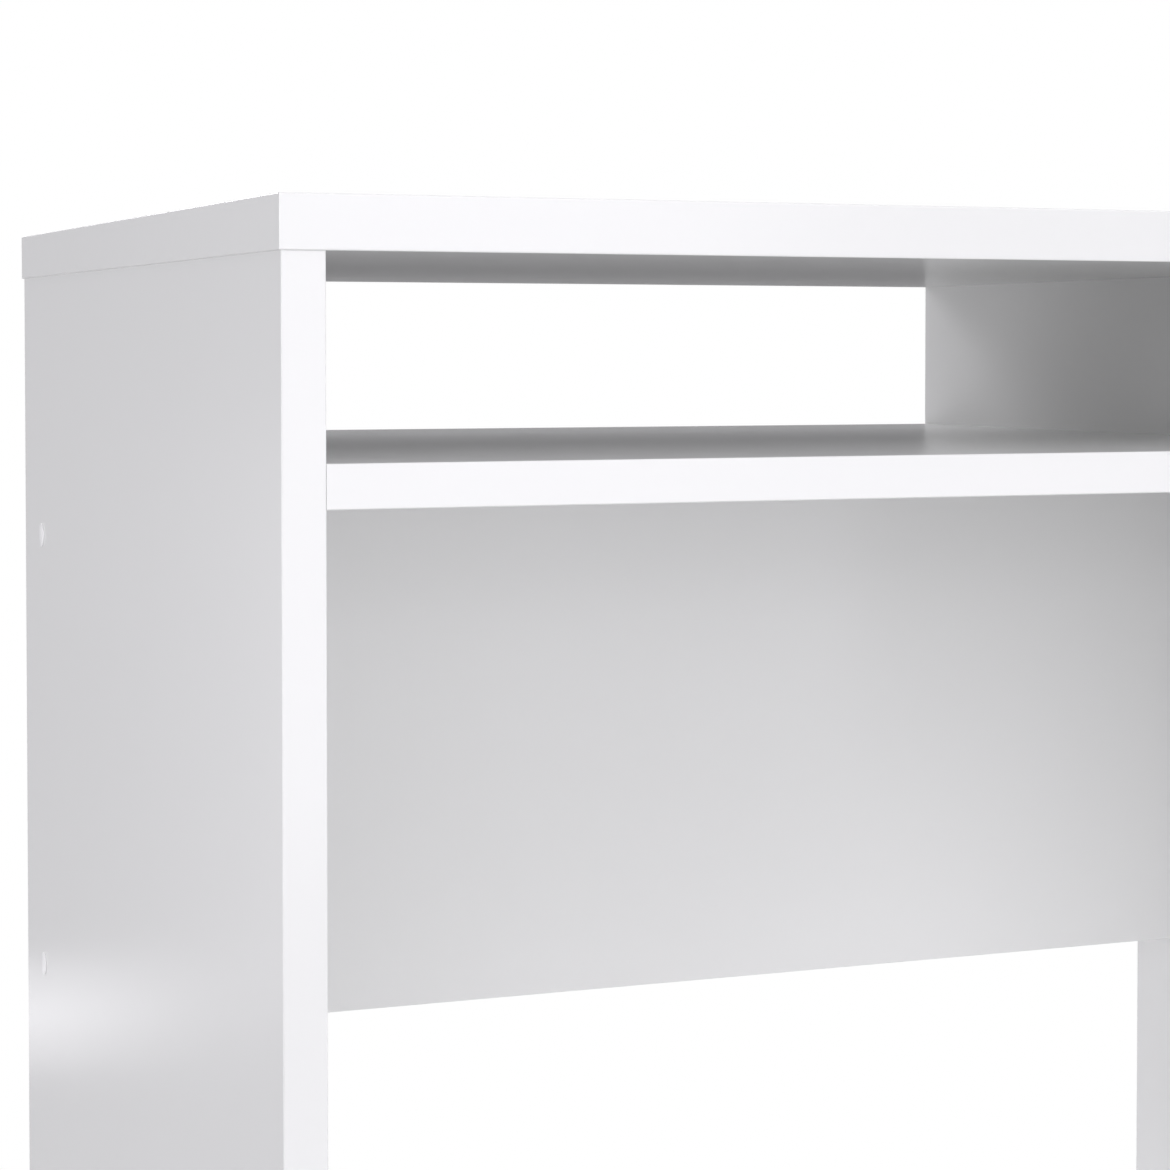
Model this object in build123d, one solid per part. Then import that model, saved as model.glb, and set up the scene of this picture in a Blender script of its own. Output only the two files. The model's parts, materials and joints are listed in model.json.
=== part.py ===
from build123d import *
import os

# Flat-pack console table in white melamine-faced board: a thick top on two full-height side
# panels, a fixed shelf below the top that makes an open compartment, a divider that parts the
# compartment into a wide bay and a narrow bay, and a stiffening panel set in from the back.
# Frame, in millimetres: +X right, +Y back, +Z up, the origin on the floor under the centre.

# ---- Driving dimensions ----
TOP_WIDTH = 715.0
TOP_DEPTH = 480.0
TOP_THICKNESS = 22.0
TOTAL_HEIGHT = 750.0
TOP_OVERHANG = 1.0  # of the top past the panels, on all four sides
BOARD_THICKNESS = 18.0
COMPARTMENT_HEIGHT = 82.0
WIDE_BAY_WIDTH = 525.0
BACK_PANEL_HEIGHT = 295.0
BACK_PANEL_RECESS = 32.0  # from the panels' rear edges to the back panel's rear face
GLIDE_HEIGHT = 4.0

# ---- Edge strips ----
STRIP_THICKNESS = 1.0
STRIP_ARRIS = 0.6  # radius of a strip's long outer edges

# ---- Where the fasteners sit ----
OUTER_INSET = 50.0  # from a board's front or rear edge to the nearer row of fasteners
INNER_INSET = 82.0  # from the same edge to the next row
BACK_SCREW_FROM_TOP = 34.0  # the upper screw, below the back panel's top edge
BACK_SCREW_SPACING = 224.0
BACK_CAM_INSET = 120.0  # from the back panel's ends to its cams
GLIDE_INSET = 40.0  # from a side panel's front or rear edge to a glide's centre

# ---- Cam fitting ----
CAM_RADIUS = 7.45
CAM_BORE_RADIUS = 7.5
CAM_HEIGHT = 12.4
CAM_BORE_DEPTH = 12.8
CAM_SETBACK = 34.0  # from the joint to the cam's centre
CAM_POCKET_RADIUS = 5.6
CAM_POCKET_TOP = 3.4  # above the bolt's axis
CAM_RECESS_LENGTH = 6.4
CAM_RECESS_WIDTH = 1.4
CAM_RECESS_DEPTH = 2.8
CAM_NECK_SLOT_RADIUS = 2.2
CAM_ENTRY_RADIUS = 3.5
COVER_RADIUS = 8.6
COVER_THICKNESS = 1.1
COVER_ARRIS = 0.7
COVER_FIT = 0.1  # clearance of a cover's peg in its recess, on each side

# ---- Cam bolt, along its axis from the joint ----
BOLT_THREAD_RADIUS = 2.5
BOLT_THREAD_LENGTH = 11.0
BOLT_COLLAR_RADIUS = 3.7
BOLT_COLLAR_LENGTH = 3.0
BOLT_SHANK_RADIUS = 2.4
BOLT_SHANK_END = 25.6
BOLT_NECK_RADIUS = 1.6
BOLT_NECK_END = 29.6
BOLT_HEAD_RADIUS = 3.1
BOLT_HEAD_END = 33.4
BOLT_BORE_RADIUS = 4.0

# ---- Wooden dowel ----
DOWEL_RADIUS = 3.95
DOWEL_BORE_RADIUS = 4.0
DOWEL_IN_FACE = 11.5
DOWEL_IN_EDGE = 18.5
DOWEL_CHAMFER = 1.0
BORE_SPARE = 0.5  # how far a blind bore runs past what it holds

# ---- Connecting screw with a countersunk head and a hexagon socket ----
SCREW_LENGTH = 50.0
SCREW_SUNK = 0.3  # the head's face, below the board's face
SCREW_HEAD_RADIUS = 4.9
SCREW_HEAD_DEPTH = 3.4
SCREW_SHANK_RADIUS = 3.45
SCREW_SHANK_BORE_RADIUS = 3.5
SCREW_CORE_RADIUS = 3.1
SCREW_TIP_LENGTH = 4.0
SCREW_TIP_RADIUS = 1.5
SCREW_SOCKET_RADIUS = 2.3  # across the corners
SCREW_SOCKET_DEPTH = 3.0
CAP_RADIUS = 6.0
CAP_THICKNESS = 0.9
CAP_ARRIS = 0.6
CAP_PEG_RADIUS = 2.1
CAP_PEG_LENGTH = 2.4

# ---- Glide under a side panel ----
GLIDE_RADIUS = 8.5
GLIDE_ARRIS = 1.0
GLIDE_BORE_RADIUS = 1.5
GLIDE_SINK_RADIUS = 3.0
GLIDE_SINK_DEPTH = 2.2
NAIL_HEAD_RADIUS = 2.9
NAIL_HEAD_THICKNESS = 1.0
NAIL_RADIUS = 1.1
NAIL_LENGTH = 16.0
NAIL_TIP_LENGTH = 3.0
NAIL_TIP_RADIUS = 0.3

# ---- Places worked out from the driving dimensions ----
PANEL_X = TOP_WIDTH / 2 - TOP_OVERHANG  # outer face of a side panel
INNER_X = PANEL_X - BOARD_THICKNESS  # inner face of a side panel
FRONT_Y = -(TOP_DEPTH / 2 - TOP_OVERHANG)  # front edges of the panels and the shelf
REAR_Y = -FRONT_Y
UNDER_TOP_Z = TOTAL_HEIGHT - TOP_THICKNESS
SHELF_TOP_Z = UNDER_TOP_Z - COMPARTMENT_HEIGHT
SHELF_UNDER_Z = SHELF_TOP_Z - BOARD_THICKNESS
DIVIDER_X = -INNER_X + WIDE_BAY_WIDTH  # the divider's left face
BACK_REAR_Y = REAR_Y - BACK_PANEL_RECESS
BACK_FRONT_Y = BACK_REAR_Y - BOARD_THICKNESS
BACK_BOTTOM_Z = SHELF_UNDER_Z - BACK_PANEL_HEIGHT
PANEL_MID_X = PANEL_X - BOARD_THICKNESS / 2
DIVIDER_MID_X = DIVIDER_X + BOARD_THICKNESS / 2
SHELF_MID_Z = SHELF_UNDER_Z + BOARD_THICKNESS / 2
BACK_MID_Y = BACK_FRONT_Y + BOARD_THICKNESS / 2
HALF_BOARD = BOARD_THICKNESS / 2
TOP_BOLT_YS = (FRONT_Y + OUTER_INSET, REAR_Y - OUTER_INSET)
TOP_DOWEL_YS = (FRONT_Y + INNER_INSET, REAR_Y - INNER_INSET)
SHELF_BOLT_YS = (FRONT_Y + OUTER_INSET, REAR_Y - INNER_INSET)  # in front of the back panel
SHELF_DOWEL_YS = (FRONT_Y + INNER_INSET, REAR_Y - OUTER_INSET)
GLIDE_YS = (FRONT_Y + GLIDE_INSET, REAR_Y - GLIDE_INSET)
UPPER_SCREW_Z = SHELF_UNDER_Z - BACK_SCREW_FROM_TOP
BACK_SCREW_ZS = (UPPER_SCREW_Z, UPPER_SCREW_Z - BACK_SCREW_SPACING)
BACK_CAM_XS = (-INNER_X + BACK_CAM_INSET, INNER_X - BACK_CAM_INSET)

OUTSIDE = 1.0  # how far a cutting tool starts outside the face that it cuts
BASE = (Align.CENTER, Align.CENTER, Align.MIN)


# ---- Building blocks ----
def block(x_span, y_span, z_span):
    """A box between two coordinates on each axis."""
    spans = (x_span, y_span, z_span)
    size = [high - low for low, high in spans]
    middle = [(low + high) / 2 for low, high in spans]
    return Pos(*middle) * Box(*size)


def rod(radius, start, end, end_radius=None):
    """A cylinder along local X from start to end, or a cone if end_radius is given."""
    if end_radius is None:
        solid = Cylinder(radius, end - start, align=BASE)
    else:
        solid = Cone(radius, end_radius, end - start, align=BASE)
    return Pos(start, 0, 0) * Rot(0, 90, 0) * solid


def edge_strip(x_span, y_span, z_span, outward):
    """A glued edge strip whose outer face, the one towards outward, has rounded edges."""
    strip = block(x_span, y_span, z_span)
    outer = strip.faces().sort_by(Axis((0, 0, 0), outward))[-1]
    longest = max(edge.length for edge in outer.edges())
    rounded = [edge for edge in outer.edges() if edge.length > longest / 2]
    return fillet(rounded, STRIP_ARRIS)


def frame_at(origin, inward, open_side):
    """A joint's local frame: X runs into the board whose edge is joined, Z to its open face."""
    return Plane(origin=origin, x_dir=inward, z_dir=open_side).location


def placed(frames, solid):
    """One copy of a fitting at each frame."""
    return [frame * solid for frame in frames]


# ---- Fittings, each in the local frame of its joint ----
def cross_recess(depth, clearance=0.0):
    """The cross that a driver turns, from its mouth at Z 0 down to -depth."""
    long_side = CAM_RECESS_LENGTH - 2 * clearance
    short_side = CAM_RECESS_WIDTH - 2 * clearance
    deep = (Align.CENTER, Align.CENTER, Align.MAX)
    one_way = Box(long_side, short_side, depth, align=deep)
    other_way = Box(short_side, long_side, depth, align=deep)
    return one_way + other_way


def cam():
    """Cast cam: a drum with a pocket for the bolt's head, a neck slot and an entry hole."""
    floor = HALF_BOARD - CAM_HEIGHT
    drum = Pos(CAM_SETBACK, 0, floor) * Cylinder(CAM_RADIUS, CAM_HEIGHT, align=BASE)
    pocket_height = CAM_POCKET_TOP - floor
    pocket = Pos(CAM_SETBACK, 0, floor) * Cylinder(CAM_POCKET_RADIUS, pocket_height, align=BASE)
    neck_slot = rod(CAM_NECK_SLOT_RADIUS, CAM_SETBACK - CAM_RADIUS - OUTSIDE, CAM_SETBACK)
    entry = rod(CAM_ENTRY_RADIUS, CAM_SETBACK, CAM_SETBACK + CAM_RADIUS + OUTSIDE)
    recess = Pos(CAM_SETBACK, 0, HALF_BOARD) * cross_recess(CAM_RECESS_DEPTH)
    return drum - [pocket, neck_slot, entry, recess]


def cam_cover():
    """Thin domed disc over a cam, held by a cross-shaped peg."""
    disc = Cylinder(COVER_RADIUS, COVER_THICKNESS, align=BASE)
    rim = disc.edges().group_by(Axis.Z)[-1]
    disc = fillet(rim, COVER_ARRIS)
    peg = cross_recess(CAM_RECESS_DEPTH - BORE_SPARE, COVER_FIT)
    return Pos(CAM_SETBACK, 0, HALF_BOARD) * (disc + peg)


def cam_bolt():
    """Bolt that screws into one board's face and is drawn in by the cam in the other."""
    thread = rod(BOLT_THREAD_RADIUS, -BOLT_THREAD_LENGTH, 0)
    collar = rod(BOLT_COLLAR_RADIUS, 0, BOLT_COLLAR_LENGTH)
    shank = rod(BOLT_SHANK_RADIUS, BOLT_COLLAR_LENGTH, BOLT_SHANK_END)
    neck = rod(BOLT_NECK_RADIUS, BOLT_SHANK_END, BOLT_NECK_END)
    head = rod(BOLT_HEAD_RADIUS, BOLT_NECK_END, BOLT_HEAD_END)
    return thread + collar + shank + neck + head


def dowel():
    """Beech dowel with chamfered ends, part in a face and part in an edge."""
    pin = rod(DOWEL_RADIUS, -DOWEL_IN_FACE, DOWEL_IN_EDGE)
    return chamfer(pin.edges().filter_by(GeomType.CIRCLE), DOWEL_CHAMFER)


def screw():
    """Connecting screw in an edge joint, its head sunk in the far face of the first board."""
    head_start = -BOARD_THICKNESS + SCREW_SUNK
    head_end = head_start + SCREW_HEAD_DEPTH
    tip_start = head_start + SCREW_LENGTH - SCREW_TIP_LENGTH
    head = rod(SCREW_HEAD_RADIUS, head_start, head_end, SCREW_SHANK_RADIUS)
    shank = rod(SCREW_SHANK_RADIUS, head_end, 0)
    core = rod(SCREW_CORE_RADIUS, 0, tip_start)
    tip = rod(SCREW_CORE_RADIUS, tip_start, tip_start + SCREW_TIP_LENGTH, SCREW_TIP_RADIUS)
    hexagon = RegularPolygon(SCREW_SOCKET_RADIUS, 6)
    socket = extrude(hexagon, SCREW_SOCKET_DEPTH + OUTSIDE)
    socket = Pos(head_start - OUTSIDE, 0, 0) * Rot(0, 90, 0) * socket
    return head + shank + core + tip - socket


def screw_cap():
    """Domed plastic cap over a screw's head, with a hexagonal peg in the screw's socket."""
    disc = Cylinder(CAP_RADIUS, CAP_THICKNESS, align=BASE)
    disc = fillet(disc.edges().group_by(Axis.Z)[-1], CAP_ARRIS)
    peg = Pos(0, 0, -CAP_PEG_LENGTH) * extrude(RegularPolygon(CAP_PEG_RADIUS, 6), CAP_PEG_LENGTH)
    return Pos(-BOARD_THICKNESS, 0, 0) * Rot(0, -90, 0) * (disc + peg)


def glide():
    """Round plastic glide with a rounded tread and a sunk bore for its nail, Z down."""
    pad = Cylinder(GLIDE_RADIUS, GLIDE_HEIGHT, align=BASE)
    pad = fillet(pad.edges().group_by(Axis.Z)[0], GLIDE_ARRIS)
    through = Cylinder(GLIDE_BORE_RADIUS, GLIDE_HEIGHT, align=BASE)
    counterbore = Cylinder(GLIDE_SINK_RADIUS, GLIDE_SINK_DEPTH, align=BASE)
    return pad - [through, counterbore]


def glide_nail():
    """Nail that holds a glide: its flat head is sunk in the tread."""
    head_z = GLIDE_SINK_DEPTH - NAIL_HEAD_THICKNESS
    head = Pos(0, 0, head_z) * Cylinder(NAIL_HEAD_RADIUS, NAIL_HEAD_THICKNESS, align=BASE)
    shaft_length = NAIL_LENGTH - NAIL_TIP_LENGTH
    shaft = Pos(0, 0, GLIDE_SINK_DEPTH) * Cylinder(NAIL_RADIUS, shaft_length, align=BASE)
    tip = Cone(NAIL_RADIUS, NAIL_TIP_RADIUS, NAIL_TIP_LENGTH, align=BASE)
    return head + shaft + Pos(0, 0, GLIDE_SINK_DEPTH + shaft_length) * tip


# ---- The bores that the fittings need, in the same local frames ----
def bolt_bore_in_face():
    return rod(BOLT_THREAD_RADIUS, -BOLT_THREAD_LENGTH - BORE_SPARE, OUTSIDE)


def cam_bore_in_edge():
    """The bolt's bore, and the drum's bore that it runs into."""
    shank_bore = rod(BOLT_BORE_RADIUS, -OUTSIDE, CAM_SETBACK)
    bore_height = CAM_BORE_DEPTH + OUTSIDE
    bore_floor = HALF_BOARD - CAM_BORE_DEPTH
    drum_bore = Cylinder(CAM_BORE_RADIUS, bore_height, align=BASE)
    return shank_bore + Pos(CAM_SETBACK, 0, bore_floor) * drum_bore


def dowel_bore_in_face():
    return rod(DOWEL_BORE_RADIUS, -DOWEL_IN_FACE - BORE_SPARE, OUTSIDE)


def dowel_bore_in_edge():
    return rod(DOWEL_BORE_RADIUS, -OUTSIDE, DOWEL_IN_EDGE + BORE_SPARE)


def screw_bore_in_face():
    """A through bore and the countersink that the head lies in."""
    through = rod(SCREW_SHANK_BORE_RADIUS, -BOARD_THICKNESS - OUTSIDE, OUTSIDE)
    head_start = -BOARD_THICKNESS + SCREW_SUNK
    head_end = head_start + SCREW_HEAD_DEPTH
    sink = rod(SCREW_HEAD_RADIUS, head_start, head_end, SCREW_SHANK_RADIUS)
    mouth = rod(SCREW_HEAD_RADIUS, -BOARD_THICKNESS - OUTSIDE, head_start)
    return through + sink + mouth


def screw_bore_in_edge():
    depth = SCREW_LENGTH - BOARD_THICKNESS + SCREW_SUNK + BORE_SPARE
    return rod(SCREW_CORE_RADIUS, -OUTSIDE, depth)


def nail_bore():
    depth = GLIDE_SINK_DEPTH + NAIL_LENGTH + BORE_SPARE
    return Cylinder(NAIL_RADIUS, depth, align=BASE)


# ---- Joint frames ----
def top_frames(panel_x, open_x, ys):
    """Joints between the top's underside and an upright board's top edge."""
    return [frame_at((panel_x, y, UNDER_TOP_Z), (0, 0, -1), (open_x, 0, 0)) for y in ys]


def shelf_frames(side, ys):
    """Joints between a side panel's inner face and the shelf's end. Side is -1 or 1."""
    origin_x = side * INNER_X
    return [frame_at((origin_x, y, SHELF_MID_Z), (-side, 0, 0), (0, 0, -1)) for y in ys]


def divider_screw_frames():
    """Joints between the shelf, screwed from below, and the divider's bottom edge."""
    return [frame_at((DIVIDER_MID_X, y, SHELF_TOP_Z), (0, 0, 1), (1, 0, 0)) for y in SHELF_BOLT_YS]


def back_screw_frames(side):
    """Joints between a side panel, screwed from outside, and the back panel's end."""
    origin_x = side * INNER_X
    return [frame_at((origin_x, BACK_MID_Y, z), (-side, 0, 0), (0, 1, 0)) for z in BACK_SCREW_ZS]


def back_cam_frames():
    """Joints between the shelf's underside and the back panel's top edge, cams behind."""
    return [frame_at((x, BACK_MID_Y, SHELF_UNDER_Z), (0, 0, -1), (0, 1, 0)) for x in BACK_CAM_XS]


def glide_frames(side):
    return [Pos(side * PANEL_MID_X, y, 0) for y in GLIDE_YS]


# ---- Boards, drilled for every joint they share ----
def drilled(board, *groups):
    """The board less the bores: each group is a list of joint frames and the bore they share."""
    bores = [copy for frames, bore in groups for copy in placed(frames, bore)]
    return board - bores


def top_board():
    core = block(
        (-TOP_WIDTH / 2 + STRIP_THICKNESS, TOP_WIDTH / 2 - STRIP_THICKNESS),
        (-TOP_DEPTH / 2 + STRIP_THICKNESS, TOP_DEPTH / 2 - STRIP_THICKNESS),
        (UNDER_TOP_Z, TOTAL_HEIGHT),
    )
    uprights = [(-PANEL_MID_X, 1), (PANEL_MID_X, -1)]
    bolts = [frame for x, way in uprights for frame in top_frames(x, way, TOP_BOLT_YS)]
    dowels = [frame for x, way in uprights for frame in top_frames(x, way, TOP_DOWEL_YS)]
    dowels += top_frames(DIVIDER_MID_X, 1, TOP_DOWEL_YS)
    return drilled(core, (bolts, bolt_bore_in_face()), (dowels, dowel_bore_in_face()))


def side_panel(side):
    core = block(
        sorted((side * INNER_X, side * PANEL_X)),
        (FRONT_Y + STRIP_THICKNESS, REAR_Y - STRIP_THICKNESS),
        (GLIDE_HEIGHT + STRIP_THICKNESS, UNDER_TOP_Z),
    )
    mid_x = side * PANEL_MID_X
    return drilled(
        core,
        (top_frames(mid_x, -side, TOP_BOLT_YS), cam_bore_in_edge()),
        (top_frames(mid_x, -side, TOP_DOWEL_YS), dowel_bore_in_edge()),
        (shelf_frames(side, SHELF_BOLT_YS), bolt_bore_in_face()),
        (shelf_frames(side, SHELF_DOWEL_YS), dowel_bore_in_face()),
        (back_screw_frames(side), screw_bore_in_face()),
        (glide_frames(side), nail_bore()),
    )


def shelf_board():
    core = block(
        (-INNER_X, INNER_X),
        (FRONT_Y + STRIP_THICKNESS, REAR_Y - STRIP_THICKNESS),
        (SHELF_UNDER_Z, SHELF_TOP_Z),
    )
    bolts = shelf_frames(-1, SHELF_BOLT_YS) + shelf_frames(1, SHELF_BOLT_YS)
    dowels = shelf_frames(-1, SHELF_DOWEL_YS) + shelf_frames(1, SHELF_DOWEL_YS)
    return drilled(
        core,
        (bolts, cam_bore_in_edge()),
        (dowels, dowel_bore_in_edge()),
        (divider_screw_frames(), screw_bore_in_face()),
        (back_cam_frames(), bolt_bore_in_face()),
    )


def divider_board():
    core = block(
        (DIVIDER_X, DIVIDER_X + BOARD_THICKNESS),
        (FRONT_Y + STRIP_THICKNESS, REAR_Y - STRIP_THICKNESS),
        (SHELF_TOP_Z, UNDER_TOP_Z),
    )
    return drilled(
        core,
        (top_frames(DIVIDER_MID_X, 1, TOP_DOWEL_YS), dowel_bore_in_edge()),
        (divider_screw_frames(), screw_bore_in_edge()),
    )


def back_panel():
    core = block(
        (-INNER_X, INNER_X),
        (BACK_FRONT_Y, BACK_REAR_Y),
        (BACK_BOTTOM_Z + STRIP_THICKNESS, SHELF_UNDER_Z),
    )
    screws = back_screw_frames(-1) + back_screw_frames(1)
    return drilled(
        core,
        (screws, screw_bore_in_edge()),
        (back_cam_frames(), cam_bore_in_edge()),
    )


# ---- Edge strips on every edge that shows ----
def top_strips():
    """Front and rear strips run past the ends of the left and right ones."""
    half_w = TOP_WIDTH / 2
    half_d = TOP_DEPTH / 2
    full_x = (-half_w, half_w)
    between_y = (-half_d + STRIP_THICKNESS, half_d - STRIP_THICKNESS)
    z_span = (UNDER_TOP_Z, TOTAL_HEIGHT)
    front_y = (-half_d, -half_d + STRIP_THICKNESS)
    rear_y = (half_d - STRIP_THICKNESS, half_d)
    left_x = (-half_w, -half_w + STRIP_THICKNESS)
    right_x = (half_w - STRIP_THICKNESS, half_w)
    return {
        "top_strip_front": edge_strip(full_x, front_y, z_span, (0, -1, 0)),
        "top_strip_rear": edge_strip(full_x, rear_y, z_span, (0, 1, 0)),
        "top_strip_left": edge_strip(left_x, between_y, z_span, (-1, 0, 0)),
        "top_strip_right": edge_strip(right_x, between_y, z_span, (1, 0, 0)),
    }


def front_and_rear_strips(name, x_span, z_span):
    front_y = (FRONT_Y, FRONT_Y + STRIP_THICKNESS)
    rear_y = (REAR_Y - STRIP_THICKNESS, REAR_Y)
    return {
        name + "_strip_front": edge_strip(x_span, front_y, z_span, (0, -1, 0)),
        name + "_strip_rear": edge_strip(x_span, rear_y, z_span, (0, 1, 0)),
    }


def bottom_strip(side):
    """Seals the foot of a side panel, between its front and rear strips."""
    strip = block(
        sorted((side * INNER_X, side * PANEL_X)),
        (FRONT_Y + STRIP_THICKNESS, REAR_Y - STRIP_THICKNESS),
        (GLIDE_HEIGHT, GLIDE_HEIGHT + STRIP_THICKNESS),
    )
    return drilled(strip, (glide_frames(side), nail_bore()))


def back_panel_strip():
    return edge_strip(
        (-INNER_X, INNER_X),
        (BACK_FRONT_Y, BACK_REAR_Y),
        (BACK_BOTTOM_Z, BACK_BOTTOM_Z + STRIP_THICKNESS),
        (0, 0, -1),
    )


# ---- All nodes ----
def side_nodes(name, side):
    """A side panel with its strips, glides and the fittings of its joints."""
    mid_x = side * PANEL_MID_X
    x_span = sorted((side * INNER_X, side * PANEL_X))
    z_span = (GLIDE_HEIGHT, UNDER_TOP_Z)
    bolts_to_top = top_frames(mid_x, -side, TOP_BOLT_YS)
    found = {name + "_side_panel": side_panel(side)}
    found.update(front_and_rear_strips(name + "_side", x_span, z_span))
    found[name + "_side_strip_bottom"] = bottom_strip(side)
    found[name + "_glides"] = placed(glide_frames(side), glide())
    found[name + "_glide_nails"] = placed(glide_frames(side), glide_nail())
    found[name + "_top_cams"] = placed(bolts_to_top, cam())
    found[name + "_top_cam_covers"] = placed(bolts_to_top, cam_cover())
    found[name + "_top_bolts"] = placed(bolts_to_top, cam_bolt())
    found[name + "_top_dowels"] = placed(top_frames(mid_x, -side, TOP_DOWEL_YS), dowel())
    found[name + "_shelf_cams"] = placed(shelf_frames(side, SHELF_BOLT_YS), cam())
    found[name + "_shelf_cam_covers"] = placed(shelf_frames(side, SHELF_BOLT_YS), cam_cover())
    found[name + "_shelf_bolts"] = placed(shelf_frames(side, SHELF_BOLT_YS), cam_bolt())
    found[name + "_shelf_dowels"] = placed(shelf_frames(side, SHELF_DOWEL_YS), dowel())
    found[name + "_back_screws"] = placed(back_screw_frames(side), screw())
    found[name + "_back_screw_caps"] = placed(back_screw_frames(side), screw_cap())
    return found


def all_nodes():
    shelf_z = (SHELF_UNDER_Z, SHELF_TOP_Z)
    divider_x = (DIVIDER_X, DIVIDER_X + BOARD_THICKNESS)
    divider_z = (SHELF_TOP_Z, UNDER_TOP_Z)
    nodes = {"top_board": top_board()}
    nodes.update(top_strips())
    nodes.update(side_nodes("left", -1))
    nodes.update(side_nodes("right", 1))
    nodes["shelf_board"] = shelf_board()
    nodes.update(front_and_rear_strips("shelf", (-INNER_X, INNER_X), shelf_z))
    nodes["divider_board"] = divider_board()
    nodes.update(front_and_rear_strips("divider", divider_x, divider_z))
    nodes["divider_dowels"] = placed(top_frames(DIVIDER_MID_X, 1, TOP_DOWEL_YS), dowel())
    nodes["divider_screws"] = placed(divider_screw_frames(), screw())
    nodes["divider_screw_caps"] = placed(divider_screw_frames(), screw_cap())
    nodes["back_panel"] = back_panel()
    nodes["back_panel_strip_bottom"] = back_panel_strip()
    nodes["back_panel_cams"] = placed(back_cam_frames(), cam())
    nodes["back_panel_cam_covers"] = placed(back_cam_frames(), cam_cover())
    nodes["back_panel_bolts"] = placed(back_cam_frames(), cam_bolt())
    return nodes


def main():
    os.makedirs("parts", exist_ok=True)
    for name, shape in all_nodes().items():
        whole = Compound(children=shape) if isinstance(shape, list) else shape
        export_step(whole, f"parts/{name}.step")


main()
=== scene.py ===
import json
import math

import bmesh
import bpy
from mathutils import Matrix, Vector

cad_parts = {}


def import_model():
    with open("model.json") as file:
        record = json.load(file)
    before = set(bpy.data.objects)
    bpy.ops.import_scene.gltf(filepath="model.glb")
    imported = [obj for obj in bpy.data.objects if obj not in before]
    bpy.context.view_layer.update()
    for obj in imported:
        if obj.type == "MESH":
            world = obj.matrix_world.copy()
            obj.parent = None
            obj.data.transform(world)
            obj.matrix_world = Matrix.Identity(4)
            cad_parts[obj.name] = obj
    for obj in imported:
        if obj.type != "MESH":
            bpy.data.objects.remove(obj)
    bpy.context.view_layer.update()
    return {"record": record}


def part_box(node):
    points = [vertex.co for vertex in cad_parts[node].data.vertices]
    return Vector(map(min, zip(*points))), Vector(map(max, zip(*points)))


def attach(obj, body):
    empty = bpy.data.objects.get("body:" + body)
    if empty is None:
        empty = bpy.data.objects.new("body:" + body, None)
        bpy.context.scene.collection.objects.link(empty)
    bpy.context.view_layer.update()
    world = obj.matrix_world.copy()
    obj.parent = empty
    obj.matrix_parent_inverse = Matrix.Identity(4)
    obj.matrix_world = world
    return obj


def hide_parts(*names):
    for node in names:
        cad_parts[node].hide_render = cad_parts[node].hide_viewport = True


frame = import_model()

# A white flat-pack console table in a plain white studio. Metres, +Z up, the front faces -Y.
MM = 0.001

# ---- Camera ----
CAMERA_PLACE = (-0.6795, -1.3301, 0.6889)
CAMERA_YAW = 22.347  # degrees, turned from +Y towards +X
CAMERA_PITCH = 1.785  # degrees, turned down
CAMERA_LENS = 91.08  # mm
CAMERA_SENSOR = 36.0  # mm
CAMERA_SHIFT = -0.12  # of the picture's width: frames the view lower without tilting the camera
CAMERA_CLIP_END = 50.0

# ---- Studio ----
FLOOR_FADE_START = 0.60  # distance from the table's middle where the floor starts to fade out
FLOOR_RADIUS = 0.96
FLOOR_VERTICES = 128
FLOOR_ALBEDO = 0.82
WORLD_LIGHT = 0.25  # on the table; the camera sees plain white
LIGHT_TINT = (0.995, 0.985, 1.020)  # a trace of violet
AIM = Vector((0.0, 0.0, 0.42))  # where every light points

# Levels: the radiance of a light's face
DIM = 1.0
SOFT = 2.0
BRIGHT = 6.0

# Each soft box: place, width, height, level.
LIGHTS = {
    "key_front": ((0.6, -3.0, 1.9), 1.9, 1.9, SOFT),
    "front_left": ((-1.7, -3.0, 1.4), 2.3, 2.2, SOFT),
    "front_middle": ((0.2, -3.2, 0.9), 2.2, 0.7, SOFT),
    "low_front": ((0.0, -3.0, 0.3), 4.0, 0.6, SOFT),
    "low_front_right": ((2.7, -1.6, 0.4), 2.0, 0.7, SOFT),
    "left": ((-3.0, 0.0, 0.8), 3.2, 1.8, SOFT),
    "low_rear_left": ((-1.5, 1.3, 0.3), 1.2, 0.6, SOFT),
    "high_rear_left": ((-0.7, 3.0, 2.2), 1.4, 1.2, BRIGHT),
    "high_rear_right": ((1.1, 3.0, 2.2), 1.4, 1.2, DIM),
    "low_right": ((2.4, -0.6, 0.3), 1.2, 0.5, DIM),
    "high_right": ((2.4, -1.7, 2.9), 2.4, 1.6, SOFT),
    "right": ((3.0, 0.7, 1.2), 2.6, 2.2, SOFT),
    "overhead": ((0.0, 0.0, 3.2), 2.5, 2.5, DIM),
}

# The glint is a small lamp that the left panel mirrors at its rear edge, in three strips
# so that it fades upwards and downwards. Each strip: steps above the middle one, level.
GLINT_HEIGHT = 0.335  # of the reflection, above the floor
GLINT_REACH = 1.0  # from the panel to the lamp
GLINT_WIDTH = 0.2
GLINT_STRIP = 0.03  # height of a strip
GLINT_STRIPS = {"glint_below": (-1, 0.6), "glint": (0, 1.0), "glint_above": (1, 0.6)}

# ---- Finishes: a pair is the two ends that a finish's noise runs between ----
BOARD_TONES = ((0.803, 0.806, 0.798), (0.825, 0.828, 0.820))
BOARD_ROUGHNESS = (0.18, 0.22)
BOARD_CLOUD_SCALE = 3.0
BOARD_GRAIN_SCALE = 1400.0
BOARD_GRAIN_DEPTH = 0.009 * MM

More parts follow.
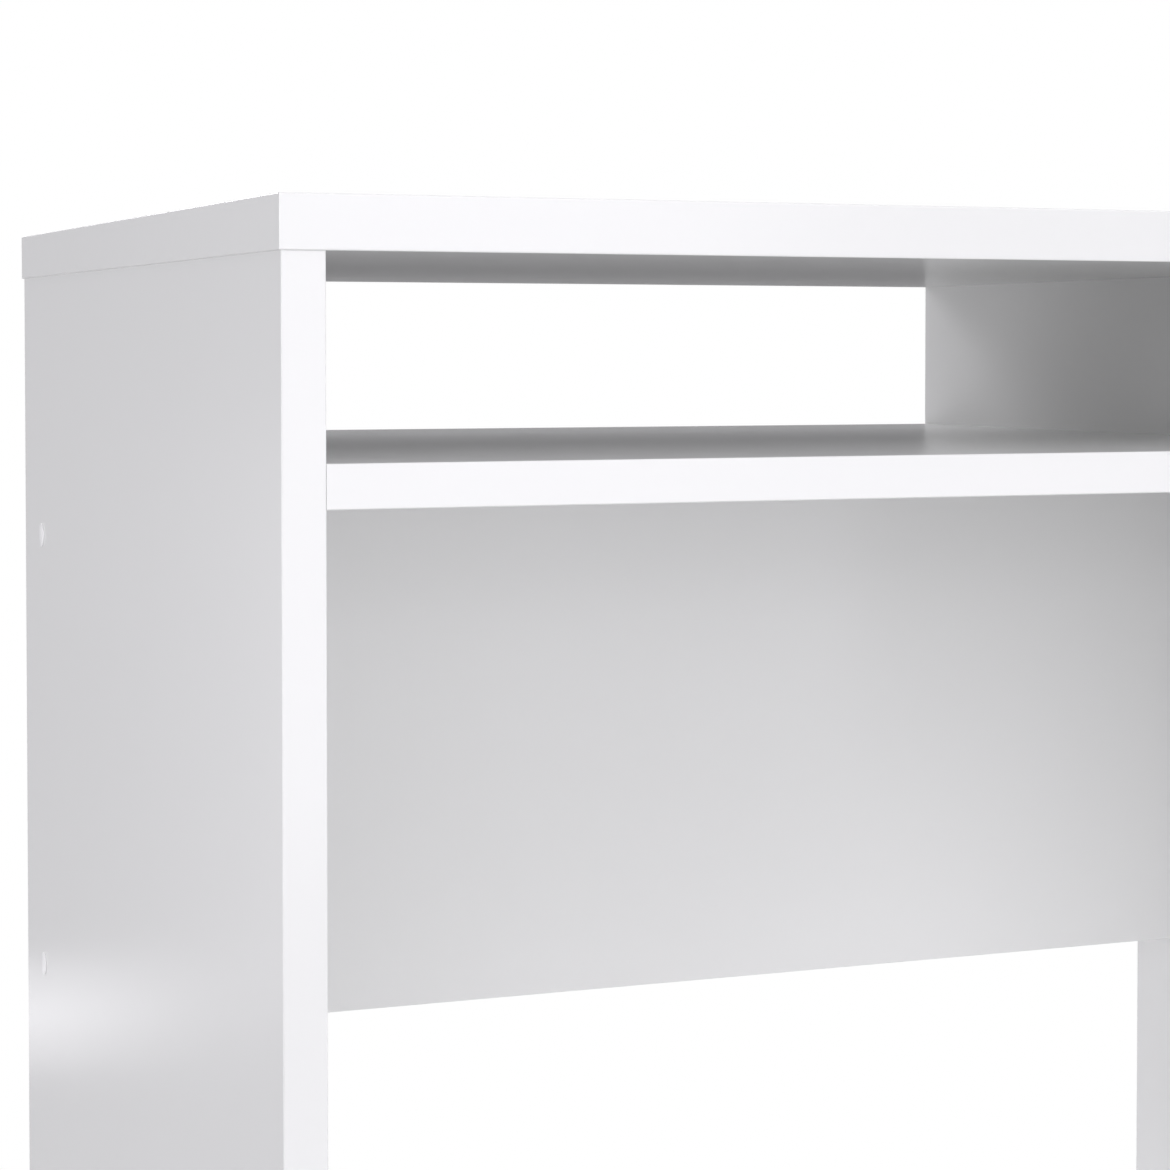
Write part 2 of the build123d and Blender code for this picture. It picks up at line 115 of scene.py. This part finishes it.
STRIP_TONES = ((0.814, 0.817, 0.809), (0.828, 0.831, 0.823))
STRIP_ROUGHNESS = (0.17, 0.21)
STRIP_CLOUD_SCALE = 5.0
STRIP_WAVE_SCALE = 160.0
STRIP_WAVE_DEPTH = 0.008 * MM
STRIP_GRAIN_SCALE = 1100.0
STRIP_GRAIN_DEPTH = 0.005 * MM

MOULDED_CLOUD_SCALE = 60.0
MOULDED_GRAIN_SCALE = 3000.0
MOULDED_GRAIN_DEPTH = 0.005 * MM

METAL_CLOUD_SCALE = 180.0
METAL_GRAIN_DEPTH = 0.03 * MM

BEECH_TONES = ((0.60, 0.40, 0.23), (0.76, 0.58, 0.38))
BEECH_ROUGHNESS = (0.55, 0.75)
BEECH_FLECK_SCALE = 900.0
BEECH_FLECK_STRETCH = (1.0, 1.0, 0.25)
BEECH_FLECK_DEPTH = 0.05 * MM

# Moulded plastics by slot: material, tones, roughness.
PLASTICS = {
    "cap_plastic": ("white_cap", ((0.87, 0.87, 0.87), (0.90, 0.90, 0.90)), (0.20, 0.28)),
    "glide_plastic": ("pale_glide", ((0.55, 0.55, 0.54), (0.62, 0.62, 0.61)), (0.40, 0.55)),
}

# Metals by slot: material, tones, roughness, grain scale.
METALS = {
    "zinc": ("cast_zinc", ((0.50, 0.50, 0.52), (0.64, 0.64, 0.66)), (0.38, 0.58), 700.0),
    "steel": ("plated_steel", ((0.60, 0.60, 0.58), (0.74, 0.73, 0.70)), (0.22, 0.38), 1500.0),
}

# ---- Fasteners; an END is a height above the narrow end ----
WELD = 0.001 * MM
SEGMENTS = 48  # round a fastener
END_SHARE = 0.15  # of a fastener's length, looked at to tell its wide end
SHARP_ANGLE = math.radians(35.0)

CAP_RADIUS = 6.0 * MM
CAP_RIM = 0.58 * MM
CAP_CROWN = 0.9 * MM
CAP_EDGE = 0.2 * MM
CAP_PEG_RADIUS = 2.0 * MM
CAP_RINGS = 8

DOWEL_RADIUS = 3.95 * MM
DOWEL_FLUTES = 16
DOWEL_FLUTE_DEPTH = 0.30 * MM
DOWEL_END_RADIUS = 3.0 * MM
DOWEL_CHAMFER = 1.0 * MM
DOWEL_SEGMENTS = 96

BOLT_CORE = 2.5 * MM
BOLT_RIDGE = 0.6 * MM
BOLT_PITCH = 2.6 * MM
BOLT_THREAD_END = 11.0 * MM
BOLT_COLLAR_RADIUS = 3.7 * MM
BOLT_COLLAR_END = 14.0 * MM
BOLT_SHANK_RADIUS = 2.4 * MM
BOLT_SHANK_END = 36.6 * MM
BOLT_NECK_RADIUS = 1.6 * MM
BOLT_NECK_END = 40.6 * MM
BOLT_HEAD_RADIUS = 3.1 * MM
BOLT_ARRIS = 0.4 * MM

SCREW_TIP_RADIUS = 1.5 * MM
SCREW_TIP_END = 4.0 * MM
SCREW_CORE = 3.1 * MM
SCREW_RIDGE = 0.8 * MM
SCREW_PITCH = 3.0 * MM
SCREW_THREAD_END = 32.3 * MM
SCREW_SHANK_RADIUS = 3.45 * MM
SCREW_SHANK_END = 46.6 * MM
SCREW_HEAD_RADIUS = 4.9 * MM
SCREW_SOCKET_RADIUS = 2.3 * MM
SCREW_SOCKET_DEPTH = 3.0 * MM

NAIL_TIP_RADIUS = 0.3 * MM
NAIL_TIP_END = 3.0 * MM
NAIL_RADIUS = 1.1 * MM
NAIL_RING_DEPTH = 0.12 * MM
NAIL_RING_STEP = 0.8 * MM
NAIL_RINGS_END = 10.0 * MM
NAIL_HEAD_RADIUS = 2.9 * MM
NAIL_HEAD_THICKNESS = 1.0 * MM

THREAD_STEPS = 10  # rings in one turn
THREAD_HALF_WIDTH = 0.24  # of the pitch


# ---- Node helpers ----
class Graph:
    """Short calls for building one material's nodes."""

    def __init__(self, tree):
        tree.nodes.clear()
        self.tree = tree

    def add(self, kind, **settings):
        node = self.tree.nodes.new(kind)
        for name, value in settings.items():
            setattr(node, name, value)
        return node

    def link(self, source, target):
        self.tree.links.new(source, target)

    def noise(self, scale, detail, coordinates):
        node = self.add("ShaderNodeTexNoise")
        node.inputs["Scale"].default_value = scale
        node.inputs["Detail"].default_value = detail
        self.link(coordinates, node.inputs["Vector"])
        return node.outputs["Fac"]

    def span(self, value, low, high):
        """A value from 0 to 1 carried to the span from low to high, and held inside it."""
        node = self.add("ShaderNodeMapRange")
        self.link(value, node.inputs["Value"])
        node.inputs["To Min"].default_value = low
        node.inputs["To Max"].default_value = high
        return node.outputs["Result"]

    def mix(self, factor, first, second):
        """A colour between two plain colours."""
        node = self.add("ShaderNodeMix", data_type="RGBA")
        self.link(factor, node.inputs["Factor"])
        node.inputs["A"].default_value = (*first, 1.0)
        node.inputs["B"].default_value = (*second, 1.0)
        return node.outputs["Result"]

    def bump(self, height, distance, normal=None):
        node = self.add("ShaderNodeBump")
        node.inputs["Distance"].default_value = distance
        self.link(height, node.inputs["Height"])
        if normal is not None:
            self.link(normal, node.inputs["Normal"])
        return node.outputs["Normal"]

    def stretch(self, coordinates, scale):
        node = self.add("ShaderNodeMapping")
        node.inputs["Scale"].default_value = scale
        self.link(coordinates, node.inputs["Vector"])
        return node.outputs["Vector"]


def new_material(name):
    """A material with its node graph, its shader and the object's own coordinates."""
    material = bpy.data.materials.new(name)
    material.use_nodes = True
    graph = Graph(material.node_tree)
    shader = graph.add("ShaderNodeBsdfPrincipled")
    output = graph.add("ShaderNodeOutputMaterial")
    graph.link(shader.outputs["BSDF"], output.inputs["Surface"])
    place = graph.add("ShaderNodeTexCoord").outputs["Object"]
    return material, graph, shader, place


# ---- Materials ----
def melamine():
    """White melamine face: fine pearl grain, satin gloss, hardly any colour change."""
    material, graph, shader, place = new_material("white_melamine")
    clouds = graph.noise(BOARD_CLOUD_SCALE, 3.0, place)
    graph.link(graph.mix(clouds, *BOARD_TONES), shader.inputs["Base Color"])
    grain = graph.noise(BOARD_GRAIN_SCALE, 2.0, place)
    graph.link(graph.span(grain, *BOARD_ROUGHNESS), shader.inputs["Roughness"])
    graph.link(graph.bump(grain, BOARD_GRAIN_DEPTH), shader.inputs["Normal"])
    return material


def edge_plastic():
    """White ABS strip: as the boards, a little glossier, and faintly wavy under its grain."""
    material, graph, shader, place = new_material("white_strip")
    clouds = graph.noise(STRIP_CLOUD_SCALE, 2.0, place)
    graph.link(graph.mix(clouds, *STRIP_TONES), shader.inputs["Base Color"])
    waves = graph.noise(STRIP_WAVE_SCALE, 2.0, place)
    graph.link(graph.span(waves, *STRIP_ROUGHNESS), shader.inputs["Roughness"])
    waved = graph.bump(waves, STRIP_WAVE_DEPTH)
    grain = graph.noise(STRIP_GRAIN_SCALE, 2.0, place)
    graph.link(graph.bump(grain, STRIP_GRAIN_DEPTH, normal=waved), shader.inputs["Normal"])
    return material


def moulded_plastic(name, tones, roughness):
    """Moulded plastic with a fine spark-eroded grain."""
    material, graph, shader, place = new_material(name)
    clouds = graph.noise(MOULDED_CLOUD_SCALE, 2.0, place)
    graph.link(graph.mix(clouds, *tones), shader.inputs["Base Color"])
    grain = graph.noise(MOULDED_GRAIN_SCALE, 1.0, place)
    graph.link(graph.span(grain, *roughness), shader.inputs["Roughness"])
    graph.link(graph.bump(grain, MOULDED_GRAIN_DEPTH), shader.inputs["Normal"])
    return material


def metal(name, tones, roughness, grain_scale):
    """Plated or cast metal, with patchy tone and a fine surface."""
    material, graph, shader, place = new_material(name)
    shader.inputs["Metallic"].default_value = 1.0
    clouds = graph.noise(METAL_CLOUD_SCALE, 3.0, place)
    graph.link(graph.mix(clouds, *tones), shader.inputs["Base Color"])
    grain = graph.noise(grain_scale, 2.0, place)
    graph.link(graph.span(grain, *roughness), shader.inputs["Roughness"])
    graph.link(graph.bump(grain, METAL_GRAIN_DEPTH), shader.inputs["Normal"])
    return material


def beech():
    """Pale beech with short darker flecks, drawn out upwards."""
    material, graph, shader, place = new_material("bare_beech")
    flecks = graph.noise(BEECH_FLECK_SCALE, 3.0, graph.stretch(place, BEECH_FLECK_STRETCH))
    graph.link(graph.mix(flecks, *BEECH_TONES), shader.inputs["Base Color"])
    graph.link(graph.span(flecks, *BEECH_ROUGHNESS), shader.inputs["Roughness"])
    graph.link(graph.bump(flecks, BEECH_FLECK_DEPTH), shader.inputs["Normal"])
    return material


def dress_nodes():
    """Gives every CAD node the material of its slot, and returns the materials and the slots."""
    made = {"melamine": melamine(), "edge_plastic": edge_plastic(), "beech": beech()}
    made.update({slot: moulded_plastic(*finish) for slot, finish in PLASTICS.items()})
    made.update({slot: metal(*finish) for slot, finish in METALS.items()})
    slots = {part["node"]: part["material_slot"] for part in frame["record"]["subparts"]}
    for name, slot in slots.items():
        node = bpy.data.objects[name]
        node.data.materials.clear()
        node.data.materials.append(made[slot])
    return made, slots


# ---- Fasteners ----
def solids_of(name):
    """The points of each separate solid in a CAD node, always in the same order."""
    work = bmesh.new()
    work.from_mesh(bpy.data.objects[name].data)
    bmesh.ops.remove_doubles(work, verts=work.verts, dist=WELD)
    waiting = set(work.verts)
    found = []
    for start in work.verts:
        if start not in waiting:
            continue
        waiting.remove(start)
        queue = [start]
        points = []
        while queue:
            vertex = queue.pop()
            points.append(vertex.co.copy())
            for edge in vertex.link_edges:
                other = edge.other_vert(vertex)
                if other in waiting:
                    waiting.remove(other)
                    queue.append(other)
        found.append(points)
    work.free()
    return found


def stand(points, along):
    """Where a turned solid is: its narrow end at the origin, its axis along local +Z, and its length.

    along is max for a solid longest on its axis and min for a flat one.
    """
    low = Vector([min(point[i] for point in points) for i in range(3)])
    high = Vector([max(point[i] for point in points) for i in range(3)])
    size = high - low
    axis = along(range(3), key=lambda i: size[i])
    centre = (low + high) / 2
    reach = END_SHARE * size[axis]

    def width(near_end):
        offsets = [point - centre for point in points if near_end(point[axis])]
        return max(math.hypot(*(offset[i] for i in range(3) if i != axis)) for offset in offsets)

    low_width = width(lambda value: value < low[axis] + reach)
    high_width = width(lambda value: value > high[axis] - reach)
    sign = 1.0 if high_width >= low_width else -1.0
    direction = Vector([sign if i == axis else 0.0 for i in range(3)])
    origin = centre - direction * size[axis] / 2
    turn = direction.to_track_quat("Z", "Y").to_matrix().to_4x4()
    return Matrix.Translation(origin) @ turn, size[axis]


def ring(height, radius, segments=SEGMENTS):
    """A closed ring of points about local Z. The radius is a number or depends on the angle."""
    points = []
    for step in range(segments):
        angle = math.tau * step / segments
        reach = radius(angle) if callable(radius) else radius
        points.append(Vector((reach * math.cos(angle), reach * math.sin(angle), height)))
    return points


def hexagon(corner_radius):
    """A ring's radius by angle that makes it a hexagon."""
    sector = math.tau / 6
    return lambda angle: corner_radius * math.cos(sector / 2) / math.cos(angle % sector - sector / 2)


def thread(start, end, core, ridge, pitch):
    """Rings of a thread cut round a core, running out at both ends."""
    rings = []
    count = math.ceil((end - start) / pitch * THREAD_STEPS)
    for step in range(count + 1):
        height = start + (end - start) * step / count
        fade = max(0.0, min(1.0, (height - start) / pitch, (end - height) / pitch))

        def radius(angle, height=height, fade=fade):
            phase = (height / pitch - angle / math.tau) % 1.0
            return core + fade * ridge * max(0.0, 1.0 - abs(phase - 0.5) / THREAD_HALF_WIDTH)

        rings.append(ring(height, radius))
    return rings


def cap_rings(length):
    """Domed cap on a peg."""
    base = length - CAP_CROWN
    rings = [ring(0.0, hexagon(CAP_PEG_RADIUS)), ring(base, hexagon(CAP_PEG_RADIUS))]
    rings += [ring(base, CAP_RADIUS - CAP_EDGE), ring(base + CAP_EDGE, CAP_RADIUS)]
    rings += [ring(base + CAP_RIM - CAP_EDGE, CAP_RADIUS)]
    for step in range(CAP_RINGS):
        share = 1.0 - step / CAP_RINGS
        drop = (CAP_CROWN - CAP_RIM) * share ** 2
        rings.append(ring(length - drop, (CAP_RADIUS - CAP_EDGE) * share))
    return rings


def dowel_rings(length):
    """Dowel with flutes along it and chamfered ends."""
    def fluted(angle):
        return DOWEL_RADIUS - DOWEL_FLUTE_DEPTH * (0.5 - 0.5 * math.cos(DOWEL_FLUTES * angle)) ** 2

    heights = (DOWEL_CHAMFER, length / 2, length - DOWEL_CHAMFER)
    middle = [ring(height, fluted, DOWEL_SEGMENTS) for height in heights]
    ends = [ring(height, DOWEL_END_RADIUS, DOWEL_SEGMENTS) for height in (0.0, length)]
    return [ends[0], *middle, ends[1]]


def bolt_rings(length):
    """Cam bolt: coarse thread, collar, shank, thin neck and rounded head."""
    rings = thread(0.0, BOLT_THREAD_END, BOLT_CORE, BOLT_RIDGE, BOLT_PITCH)
    profile = [
        (BOLT_THREAD_END, BOLT_COLLAR_RADIUS - BOLT_ARRIS),
        (BOLT_THREAD_END + BOLT_ARRIS, BOLT_COLLAR_RADIUS),
        (BOLT_COLLAR_END - BOLT_ARRIS, BOLT_COLLAR_RADIUS),
        (BOLT_COLLAR_END, BOLT_COLLAR_RADIUS - BOLT_ARRIS),
        (BOLT_COLLAR_END, BOLT_SHANK_RADIUS),
        (BOLT_SHANK_END - BOLT_ARRIS, BOLT_SHANK_RADIUS),
        (BOLT_SHANK_END, BOLT_NECK_RADIUS),
        (BOLT_NECK_END, BOLT_NECK_RADIUS),
        (BOLT_NECK_END + BOLT_ARRIS, BOLT_HEAD_RADIUS - BOLT_ARRIS),
        (BOLT_NECK_END + 2 * BOLT_ARRIS, BOLT_HEAD_RADIUS),
        (length - 2 * BOLT_ARRIS, BOLT_HEAD_RADIUS),
        (length - BOLT_ARRIS / 2, BOLT_HEAD_RADIUS - BOLT_ARRIS),
        (length, BOLT_HEAD_RADIUS - 2 * BOLT_ARRIS),
    ]
    return rings + [ring(height, radius) for height, radius in profile]


def screw_rings(length):
    """Connecting screw: blunt tip, coarse thread, plain shank, flush head with a hexagonal socket."""
    rings = [ring(0.0, SCREW_TIP_RADIUS)]
    rings += thread(SCREW_TIP_END, SCREW_THREAD_END, SCREW_CORE, SCREW_RIDGE, SCREW_PITCH)
    profile = [
        (SCREW_THREAD_END, SCREW_SHANK_RADIUS),
        (SCREW_SHANK_END, SCREW_SHANK_RADIUS),
        (length, SCREW_HEAD_RADIUS),
        (length, hexagon(SCREW_SOCKET_RADIUS)),
        (length - SCREW_SOCKET_DEPTH, hexagon(SCREW_SOCKET_RADIUS)),
    ]
    return rings + [ring(height, radius) for height, radius in profile]


def nail_rings(length):
    """Glide nail: point, shank with grip rings, flat head."""
    rings = [ring(0.0, NAIL_TIP_RADIUS), ring(NAIL_TIP_END, NAIL_RADIUS)]
    count = round((NAIL_RINGS_END - NAIL_TIP_END) / NAIL_RING_STEP)
    for step in range(1, count + 1):
        height = NAIL_TIP_END + step * NAIL_RING_STEP
        rings.append(ring(height - NAIL_RING_DEPTH, NAIL_RADIUS - NAIL_RING_DEPTH))
        rings.append(ring(height, NAIL_RADIUS))
    head = length - NAIL_HEAD_THICKNESS
    rings += [ring(head, NAIL_RADIUS), ring(head, NAIL_HEAD_RADIUS)]
    rings.append(ring(length - NAIL_RING_DEPTH, NAIL_HEAD_RADIUS))
    rings.append(ring(length, NAIL_HEAD_RADIUS - NAIL_RING_DEPTH))
    return rings


def fastener(node, suffix, rings_for, along, material):
    """A detailed piece that stands for every solid of one CAD node of fasteners."""
    vertices = []
    faces = []
    for points in solids_of(node):
        place, length = stand(points, along)
        rings = rings_for(length)
        count = len(rings[0])
        first = len(vertices)
        vertices += [place @ point for each in rings for point in each]
        for row in range(len(rings) - 1):
            for step in range(count):
                beside = (step + 1) % count
                low = first + row * count
                faces.append((low + step, low + beside, low + count + beside, low + count + step))
        faces.append([first + step for step in reversed(range(count))])
        faces.append([first + (len(rings) - 1) * count + step for step in range(count)])
    mesh = bpy.data.meshes.new(node + suffix)
    mesh.from_pydata(vertices, [], faces)
    mesh.shade_smooth()
    mesh.set_sharp_from_angle(angle=SHARP_ANGLE)
    mesh.materials.append(material)
    piece = bpy.data.objects.new(node + suffix, mesh)
    bpy.context.collection.objects.link(piece)
    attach(piece, "root")
    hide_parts(node)


def fasteners(made, slots):
    """Detailed pieces for every node of caps, dowels, bolts, screws and nails."""
    kinds = {
        "_screw_caps": ("_domed", cap_rings, min),
        "_dowels": ("_fluted", dowel_rings, max),
        "_bolts": ("_threaded", bolt_rings, max),
        "_screws": ("_threaded", screw_rings, max),
        "_glide_nails": ("_ringed", nail_rings, max),
    }
    for node, slot in sorted(slots.items()):
        for ending, (suffix, rings_for, along) in kinds.items():
            if node.endswith(ending):
                fastener(node, suffix, rings_for, along, made[slot])


# ---- Studio ----
def floor():
    """Round pale floor that fades out into the plain white all round it."""
    bpy.ops.mesh.primitive_circle_add(vertices=FLOOR_VERTICES, radius=FLOOR_RADIUS, fill_type="NGON")
    disc = bpy.context.object
    disc.name = "studio_floor"
    material = bpy.data.materials.new("studio_floor")
    material.use_nodes = True
    graph = Graph(material.node_tree)
    place = graph.add("ShaderNodeTexCoord").outputs["Object"]
    reach = graph.add("ShaderNodeVectorMath", operation="LENGTH")
    graph.link(place, reach.inputs[0])
    fade = graph.add("ShaderNodeMapRange", interpolation_type="SMOOTHSTEP")
    graph.link(reach.outputs["Value"], fade.inputs["Value"])
    fade.inputs["From Min"].default_value = FLOOR_FADE_START
    fade.inputs["From Max"].default_value = FLOOR_RADIUS
    matt = graph.add("ShaderNodeBsdfDiffuse")
    matt.inputs["Color"].default_value = (FLOOR_ALBEDO,) * 3 + (1.0,)
    blend = graph.add("ShaderNodeMixShader")
    graph.link(fade.outputs["Result"], blend.inputs["Fac"])
    graph.link(matt.outputs["BSDF"], blend.inputs[1])
    graph.link(graph.add("ShaderNodeBsdfTransparent").outputs["BSDF"], blend.inputs[2])
    output = graph.add("ShaderNodeOutputMaterial")
    graph.link(blend.outputs["Shader"], output.inputs["Surface"])
    disc.data.materials.append(material)


def soft_light(name, place, width, height, radiance):
    """A rectangular light, aimed at the table and left out of the picture."""
    data = bpy.data.lights.new(name, "AREA")
    data.shape = "RECTANGLE"
    data.size = width
    data.size_y = height
    data.energy = radiance * math.pi * width * height
    data.color = LIGHT_TINT
    lamp = bpy.data.objects.new(name, data)
    lamp.location = place
    lamp.rotation_euler = (AIM - Vector(place)).to_track_quat("-Z", "Y").to_euler()
    lamp.visible_camera = False
    bpy.context.collection.objects.link(lamp)


def glints():
    """Strips of light on the line that leaves the camera and is mirrored by the left panel."""
    panel_low, panel_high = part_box("left_side_panel")
    panel_x = panel_low[0]
    camera_x, camera_y, camera_z = CAMERA_PLACE
    mirrored = Vector((2 * panel_x - camera_x, camera_y, camera_z))
    spot = Vector((panel_x, panel_high[1], GLINT_HEIGHT))
    middle = spot + (spot - mirrored).normalized() * GLINT_REACH
    for name, (step, level) in GLINT_STRIPS.items():
        place = middle + Vector((0.0, 0.0, step * GLINT_STRIP))
        soft_light(name, place, GLINT_WIDTH, GLINT_STRIP, level)


def world():
    """Plain white behind the table, and a dimmer even light from all round."""
    made = bpy.data.worlds.new("studio")
    bpy.context.scene.world = made
    made.use_nodes = True
    graph = Graph(made.node_tree)
    seen = graph.add("ShaderNodeBackground")
    seen.inputs["Strength"].default_value = 1.0
    seen.inputs["Color"].default_value = (1.0, 1.0, 1.0, 1.0)
    lit = graph.add("ShaderNodeBackground")
    lit.inputs["Color"].default_value = (*LIGHT_TINT, 1.0)
    lit.inputs["Strength"].default_value = WORLD_LIGHT
    blend = graph.add("ShaderNodeMixShader")
    graph.link(graph.add("ShaderNodeLightPath").outputs["Is Camera Ray"], blend.inputs["Fac"])
    graph.link(lit.outputs["Background"], blend.inputs[1])
    graph.link(seen.outputs["Background"], blend.inputs[2])
    output = graph.add("ShaderNodeOutputWorld")
    graph.link(blend.outputs["Shader"], output.inputs["Surface"])


def camera():
    """The camera, level but for a slight pitch, in front of the table and to its left."""
    data = bpy.data.cameras.new("camera")
    data.sensor_width = CAMERA_SENSOR
    data.lens = CAMERA_LENS
    data.shift_y = CAMERA_SHIFT
    data.clip_end = CAMERA_CLIP_END
    held = bpy.data.objects.new("camera", data)
    held.location = CAMERA_PLACE
    held.rotation_euler = (math.radians(90.0 - CAMERA_PITCH), 0.0, math.radians(-CAMERA_YAW))
    bpy.context.collection.objects.link(held)
    bpy.context.scene.camera = held


def main():
    fasteners(*dress_nodes())
    camera()
    world()
    floor()
    for name, settings in LIGHTS.items():
        soft_light(name, *settings)
    glints()
    bpy.context.scene.view_settings.view_transform = "Standard"
    bpy.context.scene.view_settings.look = "None"


main()
